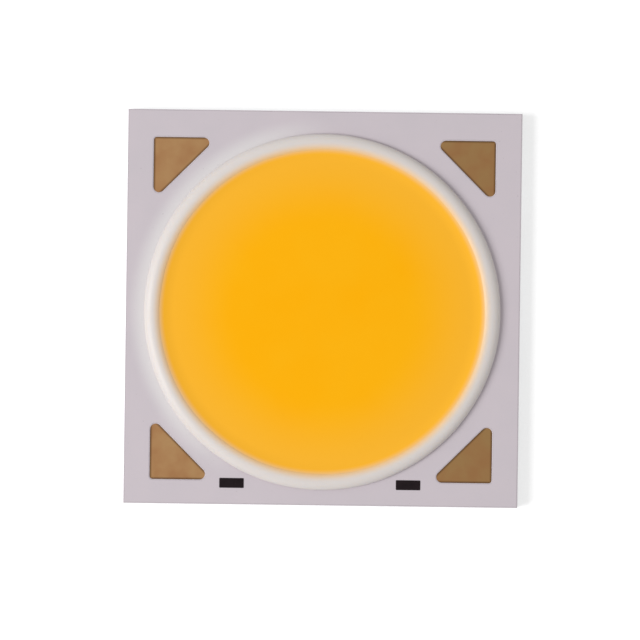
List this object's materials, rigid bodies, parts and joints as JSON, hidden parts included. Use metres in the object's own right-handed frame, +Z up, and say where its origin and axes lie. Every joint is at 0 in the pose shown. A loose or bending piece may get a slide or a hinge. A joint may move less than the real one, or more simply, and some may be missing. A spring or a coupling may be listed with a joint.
{
  "type": "chip-on-board led array",
  "caption": "Square chip-on-board LED array: a white-masked aluminium board with gold corner pads and a round yellow light area inside a white silicone dam.",
  "frame": {"origin": "middle of the board's lower face", "axes": "+Z up out of the light area, +Y towards the two anode pads, +X to the right with the two minus bars at the bottom"},
  "size_m": [0.028, 0.028, 0.0019],
  "materials": {
    "aluminium": "rolled sheet, mirror bright inside the light area",
    "bond_film": "cured resin film",
    "laminate": "sawn glass-resin laminate",
    "copper": "etched copper foil",
    "solder_mask": "matt white solder mask",
    "gold_plating": "satin nickel-gold plating",
    "dam_silicone": "white silicone bead, soft sheen",
    "phosphor_silicone": "phosphor-filled silicone, smooth, soft sheen",
    "ink": "printed black ink",
    "chip": "polished sapphire-based chip",
    "die_attach": "cured die-attach glue",
    "wire_gold": "drawn gold wire"
  },
  "bodies": {
    "root": {"base_plate": "aluminium", "bond_film": "bond_film", "circuit_core": "laminate", "anode_track": "copper", "cathode_track": "copper", "solder_mask": "solder_mask", "anode_pad_left": "gold_plating", "anode_pad_right": "gold_plating", "cathode_pad_left": "gold_plating", "cathode_pad_right": "gold_plating", "anode_bond_strip": "gold_plating", "cathode_bond_strip": "gold_plating", "dam": "dam_silicone", "phosphor": "phosphor_silicone", "minus_mark_left": "ink", "minus_mark_right": "ink", "chip_string_01": "chip", "chip_string_02": "chip", "chip_string_03": "chip", "chip_string_04": "chip", "chip_string_05": "chip", "chip_string_06": "chip", "chip_string_07": "chip", "chip_string_08": "chip", "chip_string_09": "chip", "chip_string_10": "chip", "chip_string_11": "chip", "chip_string_12": "chip", "wire_string_01": "wire_gold", "wire_string_02": "wire_gold", "wire_string_03": "wire_gold", "wire_string_04": "wire_gold", "wire_string_05": "wire_gold", "wire_string_06": "wire_gold", "wire_string_07": "wire_gold", "wire_string_08": "wire_gold", "wire_string_09": "wire_gold", "wire_string_10": "wire_gold", "wire_string_11": "wire_gold", "wire_string_12": "wire_gold", "die_bond_01": "die_attach", "die_bond_02": "die_attach", "die_bond_03": "die_attach", "die_bond_04": "die_attach", "die_bond_05": "die_attach", "die_bond_06": "die_attach", "die_bond_07": "die_attach", "die_bond_08": "die_attach", "die_bond_09": "die_attach", "die_bond_10": "die_attach", "die_bond_11": "die_attach", "die_bond_12": "die_attach"}
  },
  "joints": []
}
